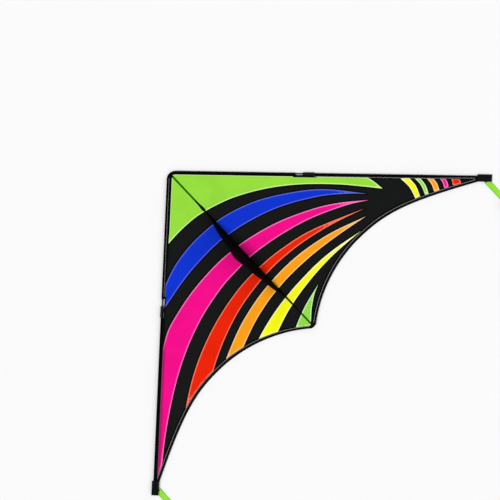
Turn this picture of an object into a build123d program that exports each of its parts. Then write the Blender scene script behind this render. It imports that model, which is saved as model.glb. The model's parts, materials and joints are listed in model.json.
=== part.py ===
"""Delta kite, single line, 1600 mm across.

The kite lies on its back: the sail is level, the keel stands up, and the frame is underneath.
+X is the right wing, +Y the nose, +Z the keel side. Sizes are in millimetres.
A station is a distance aft of the nose, and "along" a distance down a leading edge.
"""
from build123d import *
from math import cos, hypot, pi, radians, sin
import os

os.makedirs("parts", exist_ok=True)

# ---------------------------------------------------------------- planform
SPAN = 1600.0                    # over the outer corners of the two wing-tip pockets
SAIL_DEPTH = 721.0               # nose to the cut end of the tail
SWEEP = radians(44.2)            # each leading edge slopes this far back from the span line
NOSE_RADIUS = 29.0
TAIL_HALF_WIDTH = 8.0            # half of the straight cut at the tail
EDGE_BAND = 12.4                 # width of the folded band along a leading edge
HEM_WIDTH = 12.0                 # width of the folded hem along a trailing edge
# the trailing edge is two smooth curves that meet at its crest: (x, station)
CREST = (329.0, 607.0)
INNER_HANDLES = [(151.0, 605.0), (308.0, 607.0)]
OUTER_HANDLES = [(453.0, 607.0), (530.0, 631.0)]
OUTER_END = (765.0, 753.0)

# ---------------------------------------------------------------- heights and cloth
SAIL_Z = 10.5                    # middle of the sail cloth
CLOTH = 0.4                      # one layer, thicker than the real 0.1 mm so that it is a sound solid
FOLDED = 1.0                     # band, hem: cloth folded double
SEAM_GAP = 4.5                   # the wings begin, and hinge, this far from the spine's centre

# ---------------------------------------------------------------- frame
LE_ROD_RADIUS = 2.0
LE_ROD_INSET = 3.2               # leading-edge rod's axis, inboard of the edge
LE_ROD_START = 42.0              # along
LE_ROD_END = 1100.0              # along
SPINE_ROD_RADIUS = 2.0
SPINE_Z = 7.9
SPINE_HALF_WIDTH = 3.6
SPINE_BOTTOM = 5.3
SPINE_TOP = SAIL_Z + CLOTH / 2
SPINE_START = 8.0                # stations of the rod's two ends
SPINE_END = 712.0
NOSE_POCKET_START = 0.0
NOSE_POCKET_END = 24.0
TAIL_POCKET_START = 697.0
SPINE_POCKET_LOW = 4.3
SPINE_POCKET_HIGH = 11.5
SPREADER_RADIUS = 2.5
SPREADER_STATION = 328.0
SPREADER_HALF = 340.0
SLEEVE_CLEARANCE = 0.1           # between a rod and the cloth tube around it
SLEEVE_WALL = 0.6
CAP_WALL = 0.9
CAP_GRIP = 10.0                  # length of rod inside an end cap
CAP_END = 2.0                    # closed end of a cap
CAP_ROOM = 1.0                   # a pocket's wide part starts this far before its cap
CAP_END_ROOM = 0.5               # and ends this far past it
ROD_CHAMFER = 0.5
TUNNEL_ROUND = 1.2               # corners of the spine's tunnel

# ---------------------------------------------------------------- spreader fitting
GAP_START = 431.0                # the sleeve is cut away from here, along
FITTING_LENGTH = 39.0            # moulded barrel on the leading-edge rod
GAP_END = 503.0
BARREL_RADIUS = 5.2
BARREL_CLEARANCE = 0.05
BARREL_CHAMFER = 0.8
BARREL_END_GAP = 0.5             # between the barrel and the rear sleeve
SOCKET_LENGTH = 25.0
SOCKET_WALL = 1.9
SOCKET_CLEARANCE = 0.1
NECK_TOP = 10.0                  # under the sail, between the socket and the barrel
SOCKET_END_GAP = 3.0             # room past the spreader's end, so that a folding wing clears it

# ---------------------------------------------------------------- wing-tip pocket and tail
POCKET_LENGTH = 50.0
POCKET_OUTER = -4.9              # its outer side stands proud of the leading edge
POCKET_WIDTH = 24.6
POCKET_LOW = 7.0
POCKET_HIGH = 14.0
POCKET_CORNER = 1.5
TAIL_X = 773.0                   # centre line of a tail ribbon
TAIL_WIDTH = 20.0
TAIL_THICK = 0.5
TAIL_START = 748.0               # station
TAIL_FLAT = 806.0                # the ribbon lies on the ground from this station on
ROLL_STATION = 868.0             # centre of the roll that holds the rest of the ribbon
ROLL_RADIUS = 16.5
LOOP_X = 771.0
LOOP_STATION = 764.0
LOOP_WIDTH = 6.4
LOOP_LOW = 1.0
LOOP_WALL = 1.0
RIBBON_DROP = 1.2                # the ribbon starts this far under the wing-tip pocket
RIBBON_HOLE = 5.4                # buttonhole in the ribbon that the loop passes through

# ---------------------------------------------------------------- keel
KEEL_FRONT = 173.0               # station of the front of its root
KEEL_REAR = 600.0
TOW_STATION = 367.0
KEEL_DEPTH = 152.0               # from the hinge line to the point
KEEL_LEAN = 13.7                 # degrees from upright, towards the left wing
KEEL_HINGE_Z = 11.4
KEEL_ROOT_GAP = 0.6              # cloth starts this far from the hinge line
KEEL_CLOTH = 0.5
KEEL_HEM = 10.0
KEEL_HEM_THICK = 1.2
PATCH_SIDE = 46.0                # tow patch: length of its two sides, from the point
PATCH_THICK = 1.6
EYELET_INSET = 17.0              # eyelet's centre, below the keel's point
EYELET_BORE = 3.0
EYELET_TUBE = 3.9
EYELET_FLANGE = 6.5
EYELET_FLANGE_THICK = 0.4

# the box of the whole object, nose to tail rolls, is centred on the origin
NOSE_Y = (ROLL_STATION + ROLL_RADIUS) / 2
NOSE_OVERHANG = NOSE_RADIUS * (1 / cos(SWEEP) - 1)   # the sharp corner that the nose arc rounds off
POCKET_END = (SPAN / 2 + POCKET_OUTER * sin(SWEEP)) / cos(SWEEP)
POCKET_START = POCKET_END - POCKET_LENGTH
BIG = 2000.0                     # further than any part reaches


# ---------------------------------------------------------------- places
def at(x, station):
    """A point of the plan, from its distance right of the spine and aft of the nose."""
    return (x, NOSE_Y - station)


def edge_at(along, inboard=0.0):
    """A point beside the right leading edge: down it from the sharp corner, then inboard."""
    x = along * cos(SWEEP) - inboard * sin(SWEEP)
    y = NOSE_Y + NOSE_OVERHANG - along * sin(SWEEP) - inboard * cos(SWEEP)
    return (x, y)


def edge_plane(along, inboard, z):
    """A plane across the right leading edge, whose normal runs down it and whose y is up."""
    x, y = edge_at(along, inboard)
    return Plane(origin=(x, y, z), x_dir=(-sin(SWEEP), -cos(SWEEP), 0), z_dir=(cos(SWEEP), -sin(SWEEP), 0))


def spine_plane(station, x=0.0, z=SPINE_Z):
    """A plane across the spine, whose normal runs aft."""
    return Plane(origin=(x, NOSE_Y - station, z), x_dir=(1, 0, 0), z_dir=(0, -1, 0))


def slab(face, middle, thick):
    """A level sheet of cloth made from a face drawn in the XY plane."""
    return extrude(Pos(0, 0, middle - thick / 2) * face, thick)


def edge_strip(start, end, outer, inner):
    """A flat strip beside the right leading edge."""
    corners = [edge_at(start, outer), edge_at(end, outer), edge_at(end, inner), edge_at(start, inner)]
    return make_face(Polyline(*corners, close=True))


def mirrored(part):
    """The left wing's copy of a right wing part."""
    return mirror(part, about=Plane.YZ)


# ---------------------------------------------------------------- wing outline
def trailing_curves(shift=0.0):
    """The trailing edge from tail to tip, moved forward by the given distance."""
    def place(x, station):
        return at(x, station - shift)
    inner = Bezier(place(TAIL_HALF_WIDTH, SAIL_DEPTH), *[place(*p) for p in INNER_HANDLES], place(*CREST))
    outer = Bezier(place(*CREST), *[place(*p) for p in OUTER_HANDLES], place(*OUTER_END))
    return inner, outer


def ahead_of_trailing_edge(shift):
    """Everything from the spine seam to the far right that is ahead of the shifted trailing edge."""
    inner, outer = trailing_curves(shift)
    tail = at(TAIL_HALF_WIDTH, SAIL_DEPTH - shift)
    seam = at(SEAM_GAP, SAIL_DEPTH - shift)
    end = at(OUTER_END[0], OUTER_END[1] - shift)
    far_corner = at(SPAN, OUTER_END[1] - shift)
    front_corner = at(SPAN, 0)
    seam_front = at(SEAM_GAP, 0)
    outline = [
        inner,
        outer,
        Line(end, far_corner),
        Line(far_corner, front_corner),
        Line(front_corner, seam_front),
        Line(seam_front, seam),
        Line(seam, tail),
    ]
    return make_face(outline)


def behind_leading_edge():
    """Everything inside the rounded nose and the straight leading edge."""
    centre = NOSE_Y - NOSE_RADIUS
    turn = pi / 2 - SWEEP / 2
    tangent = (NOSE_RADIUS * sin(SWEEP), centre + NOSE_RADIUS * cos(SWEEP))
    middle = (NOSE_RADIUS * cos(turn), centre + NOSE_RADIUS * sin(turn))
    tip = edge_at(POCKET_START)
    inner_tip = edge_at(POCKET_START, 2 * POCKET_WIDTH)
    rear_corner = (inner_tip[0], NOSE_Y - SPAN)
    rear_middle = (0, NOSE_Y - SPAN)
    outline = [
        ThreePointArc((0, NOSE_Y), middle, tangent),
        Line(tangent, tip),
        Line(tip, inner_tip),
        Line(inner_tip, rear_corner),
        Line(rear_corner, rear_middle),
        Line(rear_middle, (0, NOSE_Y)),
    ]
    return make_face(outline)


WING = ahead_of_trailing_edge(0) & behind_leading_edge()
EDGE_STRIP = edge_strip(-BIG, BIG, -BIG, EDGE_BAND)
SAIL_FACE = (WING & ahead_of_trailing_edge(HEM_WIDTH)) - EDGE_STRIP
HEM_FACE = (WING - ahead_of_trailing_edge(HEM_WIDTH)) - EDGE_STRIP


def sail():
    return slab(SAIL_FACE, SAIL_Z, CLOTH)


def trailing_hem():
    return slab(HEM_FACE, SAIL_Z, FOLDED)


# ---------------------------------------------------------------- leading edge
def rod(plane, length, radius):
    return extrude(plane * Circle(radius), length)


def leading_edge_rod():
    return rod(edge_plane(LE_ROD_START, LE_ROD_INSET, SAIL_Z), LE_ROD_END - LE_ROD_START, LE_ROD_RADIUS)


def end_cap(plane, radius):
    """A vinyl cap over a rod's end. The plane sits at the rod's end, facing away from the rod."""
    outside = extrude(plane.offset(-CAP_GRIP) * Circle(radius + CAP_WALL), CAP_GRIP + CAP_END)
    outside = fillet(outside.edges().group_by(plane_axis(plane))[-1], CAP_WALL / 2)
    inside = extrude(plane.offset(-CAP_GRIP) * Circle(radius), CAP_GRIP)
    return outside - inside


def plane_axis(plane):
    return Axis(plane.origin, plane.z_dir)


def flipped(plane):
    return Plane(origin=plane.origin, x_dir=plane.x_dir, z_dir=-plane.z_dir)


def leading_edge_caps():
    nose_end = flipped(edge_plane(LE_ROD_START, LE_ROD_INSET, SAIL_Z))
    tip_end = edge_plane(LE_ROD_END, LE_ROD_INSET, SAIL_Z)
    return Compound([end_cap(nose_end, LE_ROD_RADIUS), end_cap(tip_end, LE_ROD_RADIUS)])


def edge_sleeve(start, end, tube_start):
    """The folded band of cloth with the rod's tunnel along its outer side."""
    strip = edge_strip(start, end, -BIG, EDGE_BAND)
    band = slab(WING & strip, SAIL_Z, FOLDED)
    plane = edge_plane(tube_start, LE_ROD_INSET, SAIL_Z)
    tunnel = LE_ROD_RADIUS + SLEEVE_CLEARANCE
    band += rod(plane, end - tube_start, tunnel + SLEEVE_WALL)
    return band - rod(plane, end - tube_start, tunnel)


def front_sleeve():
    """From the nose to the gap. Its tunnel widens at the nose for the rod's cap."""
    cap_radius = LE_ROD_RADIUS + CAP_WALL + SLEEVE_CLEARANCE
    room_start = LE_ROD_START - CAP_END - SLEEVE_CLEARANCE
    room_end = LE_ROD_START + CAP_GRIP + CAP_ROOM
    sleeve = edge_sleeve(-BIG, GAP_START, room_end)
    plane = edge_plane(room_start - SLEEVE_WALL, LE_ROD_INSET, SAIL_Z)
    sleeve += rod(plane, room_end - room_start + SLEEVE_WALL, cap_radius + SLEEVE_WALL)
    return sleeve - rod(edge_plane(room_start, LE_ROD_INSET, SAIL_Z), room_end - room_start, cap_radius)


def rear_sleeve():
    return edge_sleeve(GAP_END, POCKET_START, GAP_END)


def spreader_fitting():
    """Moulded tee: a barrel on the leading-edge rod over an open-backed socket for the spreader."""
    barrel_end = GAP_END - BARREL_END_GAP
    plane = edge_plane(barrel_end - FITTING_LENGTH, LE_ROD_INSET, SAIL_Z)
    barrel = rod(plane, FITTING_LENGTH, BARREL_RADIUS)
    barrel = chamfer(barrel.edges().filter_by(GeomType.CIRCLE), BARREL_CHAMFER)

    x_end = SPREADER_HALF + SOCKET_END_GAP
    x_start = x_end - SOCKET_LENGTH
    y = NOSE_Y - SPREADER_STATION
    slot_radius = SPREADER_RADIUS + SOCKET_CLEARANCE
    half_width = slot_radius + SOCKET_WALL
    roof = SPREADER_RADIUS + half_width
    block_length = SOCKET_LENGTH + SOCKET_WALL
    block = Box(block_length, 2 * half_width, roof, align=(Align.MIN, Align.CENTER, Align.MIN))
    block = fillet(block.edges().filter_by(Axis.X).group_by(Axis.Z)[-1], SOCKET_WALL)
    block = Pos(x_start, y, 0) * block
    neck_size = (SOCKET_LENGTH / 2, 2 * half_width - 2 * SOCKET_WALL, NECK_TOP - SPREADER_RADIUS)
    neck = Box(*neck_size, align=(Align.MAX, Align.CENTER, Align.MAX))
    neck = Pos(x_end + SOCKET_WALL, y, NECK_TOP) * neck

    slot = extrude(Plane(origin=(x_start, y, SPREADER_RADIUS), x_dir=(0, 1, 0), z_dir=(1, 0, 0))
                   * Circle(slot_radius), SOCKET_LENGTH)
    mouth = Pos(x_start, y, 0) * Box(SOCKET_LENGTH, 2 * slot_radius, SPREADER_RADIUS,
                                     align=(Align.MIN, Align.CENTER, Align.MIN))
    bore = rod(edge_plane(0, LE_ROD_INSET, SAIL_Z), BIG, LE_ROD_RADIUS + BARREL_CLEARANCE)
    return (barrel + block + neck) - slot - mouth - bore


def wing_tip_pocket():
    """Folded webbing that holds the outer end of the leading-edge rod and its cap."""
    face = edge_strip(POCKET_START, POCKET_END, POCKET_OUTER, POCKET_OUTER + POCKET_WIDTH)
    pocket = slab(face, (POCKET_LOW + POCKET_HIGH) / 2, POCKET_HIGH - POCKET_LOW)
    pocket = fillet(pocket.edges().filter_by(Axis.Z), POCKET_CORNER)
    cap_radius = LE_ROD_RADIUS + CAP_WALL + SLEEVE_CLEARANCE
    cap_start = LE_ROD_END - CAP_GRIP - CAP_ROOM
    depth = LE_ROD_END + CAP_END + CAP_END_ROOM - cap_start
    tunnel_plane = edge_plane(POCKET_START, LE_ROD_INSET, SAIL_Z)
    pocket -= rod(tunnel_plane, cap_start - POCKET_START, LE_ROD_RADIUS + SLEEVE_CLEARANCE)
    return pocket - rod(edge_plane(cap_start, LE_ROD_INSET, SAIL_Z), depth, cap_radius)


# ---------------------------------------------------------------- spine
def spine_rod():
    return rod(spine_plane(SPINE_START), SPINE_END - SPINE_START, SPINE_ROD_RADIUS)


def spine_caps():
    return Compound([end_cap(flipped(spine_plane(SPINE_START)), SPINE_ROD_RADIUS),
                     end_cap(spine_plane(SPINE_END), SPINE_ROD_RADIUS)])


def spine_block(start, end, low, high):
    """A length of the narrow tunnel that is sewn behind the centre seam."""
    block = Box(2 * SPINE_HALF_WIDTH, end - start, high - low, align=(Align.CENTER, Align.MAX, Align.MIN))
    block = fillet(block.edges().filter_by(Axis.Y).group_by(Axis.Z)[0], TUNNEL_ROUND)
    return Pos(0, NOSE_Y - start, low) * block


def spine_sleeve():
    sleeve = spine_block(NOSE_POCKET_END, TAIL_POCKET_START, SPINE_BOTTOM, SPINE_TOP)
    return sleeve - rod(spine_plane(0), BIG, SPINE_ROD_RADIUS + SLEEVE_CLEARANCE)


def spine_pocket(start, end, cap_start, cap_end):
    """Webbing folded over one end of the spine, with room for the rod's cap."""
    pocket = spine_block(start, end, SPINE_POCKET_LOW, SPINE_POCKET_HIGH)
    cap_radius = SPINE_ROD_RADIUS + CAP_WALL + SLEEVE_CLEARANCE
    return pocket - rod(spine_plane(cap_start), cap_end - cap_start, cap_radius)


def nose_pocket():
    cap_start = SPINE_START - CAP_END - CAP_END_ROOM
    return spine_pocket(NOSE_POCKET_START, NOSE_POCKET_END, cap_start, NOSE_POCKET_END)


def tail_pocket():
    cap_end = SPINE_END + CAP_END + CAP_END_ROOM
    return spine_pocket(TAIL_POCKET_START, SAIL_DEPTH, TAIL_POCKET_START, cap_end)


def spreader_rod():
    plane = Plane(origin=(-SPREADER_HALF, NOSE_Y - SPREADER_STATION, SPREADER_RADIUS),
                  x_dir=(0, 1, 0), z_dir=(1, 0, 0))
    body = rod(plane, 2 * SPREADER_HALF, SPREADER_RADIUS)
    return chamfer(body.edges().filter_by(GeomType.CIRCLE), ROD_CHAMFER)


# ---------------------------------------------------------------- keel
KEEL_PLANE = Plane(
    origin=(0, NOSE_Y, KEEL_HINGE_Z),
    x_dir=(0, -1, 0),
    z_dir=(-cos(radians(KEEL_LEAN)), 0, -sin(radians(KEEL_LEAN))))


def keel_sheet(face, thick):
    """A flat piece of the keel, from a face drawn as (station, depth from the hinge line)."""
    return extrude(KEEL_PLANE * face, thick / 2, both=True)


def keel_face():
    return make_face(Polyline((KEEL_FRONT, 0), (TOW_STATION, KEEL_DEPTH), (KEEL_REAR, 0), close=True))


def above_root(face):
    room = Rectangle(BIG, KEEL_DEPTH, align=(Align.CENTER, Align.MIN))
    return face & (Pos(TOW_STATION, KEEL_ROOT_GAP) * room)


def down_edge(station, distance):
    """A point on one edge of the keel, this far from its point towards the root's given end."""
    length = hypot(station - TOW_STATION, KEEL_DEPTH)
    share = distance / length
    return (TOW_STATION + (station - TOW_STATION) * share, KEEL_DEPTH * (1 - share))


KEEL_OUTLINE = above_root(keel_face())
PATCH_OUTLINE = make_face(Polyline(
    (TOW_STATION, KEEL_DEPTH),
    down_edge(KEEL_FRONT, PATCH_SIDE),
    down_edge(KEEL_REAR, PATCH_SIDE),
    close=True))


def keel_panel():
    return keel_sheet(KEEL_OUTLINE - keel_hem_face() - PATCH_OUTLINE, KEEL_CLOTH)


def keel_hem_face():
    """The two sewn edges that run from the root to the tow patch."""
    front = trace(Line((KEEL_FRONT, 0), (TOW_STATION, KEEL_DEPTH)), 2 * KEEL_HEM)
    rear = trace(Line((KEEL_REAR, 0), (TOW_STATION, KEEL_DEPTH)), 2 * KEEL_HEM)
    return ((front + rear) & KEEL_OUTLINE) - PATCH_OUTLINE


def keel_hem():
    return keel_sheet(keel_hem_face(), KEEL_HEM_THICK)


def eyelet_centre():
    return Pos(TOW_STATION, KEEL_DEPTH - EYELET_INSET)


def tow_patch():
    """Reinforcement sewn over the keel's point, with a hole for the eyelet."""
    face = PATCH_OUTLINE - eyelet_centre() * Circle(EYELET_TUBE)
    return keel_sheet(face, PATCH_THICK)


def tow_eyelet():
    ring = Circle(EYELET_TUBE) - Circle(EYELET_BORE)
    flange = Circle(EYELET_FLANGE) - Circle(EYELET_BORE)
    tube = keel_sheet(eyelet_centre() * ring, PATCH_THICK)
    both = keel_sheet(eyelet_centre() * flange, PATCH_THICK + 2 * EYELET_FLANGE_THICK)
    middle = keel_sheet(eyelet_centre() * (Circle(2 * EYELET_FLANGE) - Circle(EYELET_TUBE)), PATCH_THICK)
    return tube + (both - middle)


# ---------------------------------------------------------------- tails
def tail_loop():
    """Webbing loop under the wing tip, standing through the ribbon's buttonhole."""
    x, y = at(LOOP_X, LOOP_STATION)
    height = POCKET_LOW - LOOP_LOW
    band = Box(LOOP_WIDTH, LOOP_WIDTH, height)
    hole = Box(BIG, LOOP_WIDTH - 2 * LOOP_WALL, height - 2 * LOOP_WALL)
    return Pos(x, y, LOOP_LOW + height / 2) * (band - hole)


def tail_ribbon():
    """The ribbon as it lies, and the roll that holds the rest of its length."""
    side = Plane(origin=(TAIL_X - TAIL_WIDTH / 2, NOSE_Y, 0), x_dir=(0, -1, 0), z_dir=(-1, 0, 0))
    top = POCKET_LOW - RIBBON_DROP
    middle = (TAIL_START + TAIL_FLAT) / 2
    upper = Bezier((TAIL_START, top), (middle, top), (middle, TAIL_THICK), (TAIL_FLAT, TAIL_THICK))
    lower = Bezier((TAIL_START, top - TAIL_THICK), (middle, top - TAIL_THICK), (middle, 0), (TAIL_FLAT, 0))
    outline = [
        upper,
        Line((TAIL_FLAT, TAIL_THICK), (ROLL_STATION, TAIL_THICK)),
        Line((ROLL_STATION, TAIL_THICK), (ROLL_STATION, 0)),
        Line((ROLL_STATION, 0), (TAIL_FLAT, 0)),
        lower,
        Line((TAIL_START, top - TAIL_THICK), (TAIL_START, top)),
    ]
    profile = make_face(outline) + Pos(ROLL_STATION, ROLL_RADIUS) * Circle(ROLL_RADIUS)
    ribbon = extrude(side * profile, -TAIL_WIDTH)
    hole = Pos(*at(LOOP_X, LOOP_STATION), 0) * Cylinder(RIBBON_HOLE, 4 * POCKET_LOW)
    return ribbon - hole


# ---------------------------------------------------------------- write the parts
RIGHT_WING = {
    "sail": sail,
    "leading_edge_rod": leading_edge_rod,
    "leading_edge_rod_caps": leading_edge_caps,
    "leading_edge_sleeve_front": front_sleeve,
    "leading_edge_sleeve_rear": rear_sleeve,
    "trailing_edge_hem": trailing_hem,
    "wing_tip_pocket": wing_tip_pocket,
    "spreader_fitting": spreader_fitting,
    "tail_loop": tail_loop,
    "tail_ribbon": tail_ribbon,
}
MIDDLE = {
    "spine_rod": spine_rod,
    "spine_rod_caps": spine_caps,
    "spine_sleeve": spine_sleeve,
    "nose_pocket": nose_pocket,
    "tail_pocket": tail_pocket,
    "spreader_rod": spreader_rod,
    "keel_panel": keel_panel,
    "keel_hem": keel_hem,
    "keel_tow_patch": tow_patch,
    "keel_tow_eyelet": tow_eyelet,
}

for name, make in MIDDLE.items():
    export_step(make(), f"parts/{name}.step")
for name, make in RIGHT_WING.items():
    piece = make()
    export_step(piece, f"parts/right_{name}.step")
    export_step(mirrored(piece), f"parts/left_{name}.step")
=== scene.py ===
"""The looks of a single-line delta kite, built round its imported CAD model.

Plan places are (x, station) in millimetres: x is the distance right of the spine, and station the
distance aft of the nose. put() turns a plan place and a height into the shared frame's metres.
"along" is a distance down a leading edge from the sharp corner that the nose rounds off, and
"inboard" a distance from that edge into the sail. Wings are drawn on the right, and side is 1 for
the right wing and -1 for the left.
"""
import json
from math import ceil, cos, exp, hypot, pi, radians, sin, sqrt, tan

import bmesh
import bpy
import numpy as np
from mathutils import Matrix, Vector
from mathutils.geometry import delaunay_2d_cdt
from mathutils.kdtree import KDTree


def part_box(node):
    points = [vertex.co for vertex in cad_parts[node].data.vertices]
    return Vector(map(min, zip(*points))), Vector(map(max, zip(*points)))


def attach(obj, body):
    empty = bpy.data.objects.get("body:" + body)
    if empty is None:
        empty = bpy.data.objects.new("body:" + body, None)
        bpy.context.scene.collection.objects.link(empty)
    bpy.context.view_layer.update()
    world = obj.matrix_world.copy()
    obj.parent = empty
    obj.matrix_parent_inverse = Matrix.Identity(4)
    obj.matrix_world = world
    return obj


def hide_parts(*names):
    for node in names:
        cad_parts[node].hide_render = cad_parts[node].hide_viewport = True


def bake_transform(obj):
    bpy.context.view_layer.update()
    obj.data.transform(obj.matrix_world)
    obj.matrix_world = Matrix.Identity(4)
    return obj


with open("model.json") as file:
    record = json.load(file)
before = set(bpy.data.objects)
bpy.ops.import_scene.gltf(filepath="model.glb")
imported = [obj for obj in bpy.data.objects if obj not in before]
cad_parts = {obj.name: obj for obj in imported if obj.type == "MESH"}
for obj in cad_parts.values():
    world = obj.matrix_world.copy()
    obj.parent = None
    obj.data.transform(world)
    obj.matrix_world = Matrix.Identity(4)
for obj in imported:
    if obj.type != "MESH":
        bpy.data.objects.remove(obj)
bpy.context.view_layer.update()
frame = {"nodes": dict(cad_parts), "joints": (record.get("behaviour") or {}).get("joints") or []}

# ---- dimensions, in millimetres
MM = 0.001
NOSE_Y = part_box("nose_pocket")[1][1] / MM
SAIL_Z = (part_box("right_sail")[0][2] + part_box("right_sail")[1][2]) / 2 / MM

SWEEP = radians(44.2)  # slope of a leading edge
NOSE_RADIUS = 29.0
NOSE_OVERHANG = NOSE_RADIUS * (1 / cos(SWEEP) - 1)
NOSE_ARC = NOSE_RADIUS * SWEEP  # length of one side's half of the nose arc
EDGE_BAND = 12.4
EDGE_TUCK = 9.0  # the sail's edge lies this far inboard, inside the band
WIDER_BAND = 5.0  # the left band is this much wider at the nose
WIDER_FROM, WIDER_TO = 210.0, 330.0  # and narrows between these, along
ROD_INSET = 3.2
TUNNEL_RADIUS = 2.75
GAP_START = 439.0  # the leading-edge band stops here, along
GAP_END = 503.0
GAP_MIDDLE = (GAP_START + GAP_END) / 2
GAP_REACH = (GAP_END - GAP_START) / 2 + 8.0  # half the length of the black cloth beside the gap
POCKET_START = 1061.1
POCKET_END = 1111.1

TAIL_CORNER = (8.0, 721.0)
INNER_EDGE = [TAIL_CORNER, (151.0, 605.0), (308.0, 607.0), (329.0, 607.0)]
OUTER_EDGE = [(329.0, 607.0), (453.0, 607.0), (530.0, 631.0), (765.0, 753.0)]
HEM_WIDTH = 12.0
HEM_TUCK = 7.0  # the sail's edge lies this far ahead of the trailing edge
SEAM_HALF = 3.4  # the felled seam down the middle of the sail
HINGE = (3.0, 9.0)  # the cloth is held inside the first of these distances from the spine, and free to sag from the second

CLOTH_GRID = 6.5
DRAPE_GRID = 14.0
DRAPE_FRAMES = 24
DRAPE_MOST = 6.0  # the cloth sags no further than this

WORDS = {1: "right", -1: "left"}
UP = Vector((0, 0, 1))


# ---- places
def put(x, station, z=SAIL_Z):
    return Vector((x, NOSE_Y - station, z)) * MM


def clamp(t):
    return min(1.0, max(0.0, t))


def smooth(t):
    """0 to 1 with a smooth start and end."""
    t = clamp(t)
    return t * t * (3 - 2 * t)


def edge_at(along, inboard=0.0):
    x = along * cos(SWEEP) - inboard * sin(SWEEP)
    return x, along * sin(SWEEP) + inboard * cos(SWEEP) - NOSE_OVERHANG


def inboard_of(x, station):
    """How far inboard of its leading edge a plan place is."""
    return (station + NOSE_OVERHANG) * cos(SWEEP) - abs(x) * sin(SWEEP)


def along_from(x, station):
    """How far down its leading edge a plan place is."""
    return abs(x) * cos(SWEEP) + (station + NOSE_OVERHANG) * sin(SWEEP)


def wide_band(side, along):
    """A band's width. The left wing's band is wider from the nose to near its fitting."""
    if side > 0:
        return EDGE_BAND
    return EDGE_BAND + WIDER_BAND * clamp((WIDER_TO - along) / (WIDER_TO - WIDER_FROM))


def inside_edge(run, inboard):
    """The plan place this far inboard of the outer line, which runs round the nose, then down the edge."""
    if run < NOSE_ARC:
        turn = run / NOSE_RADIUS
        edge, inward = (NOSE_RADIUS * sin(turn), NOSE_RADIUS * (1 - cos(turn))), (-sin(turn), cos(turn))
    else:
        edge, inward = edge_at(along_of(run)), (-sin(SWEEP), cos(SWEEP))
    return edge[0] + inward[0] * inboard, edge[1] + inward[1] * inboard


def along_of(run):
    return NOSE_RADIUS * tan(SWEEP) + run - NOSE_ARC


def run_of(along):
    return along - NOSE_RADIUS * tan(SWEEP) + NOSE_ARC


def bezier(ends_and_handles, steps):
    a, b, c, d = (np.array(p) for p in ends_and_handles)
    t = np.linspace(0, 1, steps + 1)[:, None]
    curve = a * (1 - t) ** 3 + 3 * b * t * (1 - t) ** 2 + 3 * c * t * t * (1 - t) + d * t ** 3
    return [tuple(p) for p in curve]


def runs_of(line):
    """The distance along a line at each of its points."""
    steps = np.linalg.norm(np.diff(np.array(line, float), axis=0), axis=1)
    return np.concatenate([[0], np.cumsum(steps)])


def spaced(line, step):
    """The same line with its points a step apart."""
    runs = runs_of(line)
    at = np.linspace(0, runs[-1], max(2, ceil(runs[-1] / step) + 1))
    return [tuple(p) for p in np.stack([np.interp(at, runs, column) for column in zip(*line)], 1)]


def divided(line, step):
    """The same line with every point kept, and more added where they are over a step apart."""
    result = [tuple(line[0])]
    for (x, y), end in zip(line, line[1:]):
        dx, dy = end[0] - x, end[1] - y
        parts = max(1, ceil(hypot(dx, dy) / step - 0.01))
        result += [(x + dx * i / parts, y + dy * i / parts) for i in range(1, parts + 1)]
    return result


def smooth_line(points, step):
    """A Catmull-Rom curve through the points, spaced evenly."""
    p = np.array([points[0], *points, points[-1]], float)
    p[0], p[-1] = 2 * p[1] - p[2], 2 * p[-2] - p[-3]
    curve = []
    for i in range(1, len(p) - 2):
        for t in np.linspace(0, 1, 12, endpoint=False):
            curve.append(0.5 * (2 * p[i] + (p[i + 1] - p[i - 1]) * t
                                + (2 * p[i - 1] - 5 * p[i] + 4 * p[i + 1] - p[i + 2]) * t * t
                                + (3 * p[i] - p[i - 1] - 3 * p[i + 1] + p[i + 2]) * t ** 3))
    curve.append(p[-2])
    return spaced(curve, step)


def trailing_edge(step=4.0):
    """From the middle of the tail to the wing tip, along the outside of the hem."""
    curve = bezier(INNER_EDGE, 60) + bezier(OUTER_EDGE, 60)[1:]
    return spaced([(0.0, TAIL_CORNER[1]), *curve], step)


def inside(points, polygon):
    """Which points lie inside a polygon."""
    x, y = np.array(points, float).T
    result = np.zeros(len(x), bool)
    for (xa, ya), (xb, yb) in zip(polygon, [*polygon[1:], polygon[0]]):
        if ya != yb:
            crosses = (ya > y) != (yb > y)
            result ^= crosses & (x < (xb - xa) * (y - ya) / (yb - ya) + xa)
    return result


def nearest(points):
    """A tree that finds the nearest of some plan points."""
    tree = KDTree(len(points))
    for i, (x, y) in enumerate(points):
        tree.insert((x, y, 0), i)
    tree.balance()
    return tree


# ---- mesh tools
def new_piece(name, points, faces, material, sharp=40):
    """An object from points in metres, smooth except across edges sharper than the given angle."""
    mesh = bpy.data.meshes.new(name)
    mesh.from_pydata([tuple(p) for p in points], [], faces)
    mesh.materials.append(material)
    mesh.shade_smooth()
    mesh.set_sharp_from_angle(angle=radians(sharp))
    piece = bpy.data.objects.new(name, mesh)
    bpy.context.scene.collection.objects.link(piece)
    return piece


def clean(piece, weld=False, outwards=True):
    """Joins the points that coincide, or turns the faces outwards, or both."""
    mesh = bmesh.new()
    mesh.from_mesh(piece.data)
    if weld:
        bmesh.ops.remove_doubles(mesh, verts=mesh.verts, dist=1e-6)
    if outwards:
        bmesh.ops.recalc_face_normals(mesh, faces=mesh.faces)
    mesh.to_mesh(piece.data)
    mesh.free()
    return piece


def skin(rings, closed=True, capped=True):
    """Points and faces over rings that all have as many points."""
    size = len(rings[0])
    points = [p for ring in rings for p in ring]
    faces = []
    for i in range(len(rings) - 1):
        for j in range(size if closed else size - 1):
            k = (j + 1) % size
            faces.append((i * size + j, i * size + k, (i + 1) * size + k, (i + 1) * size + j))
    if closed and capped:
        faces.append(tuple(range(size)))
        faces.append(tuple(range(len(points) - 1, len(points) - 1 - size, -1)))
    return points, faces


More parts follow.
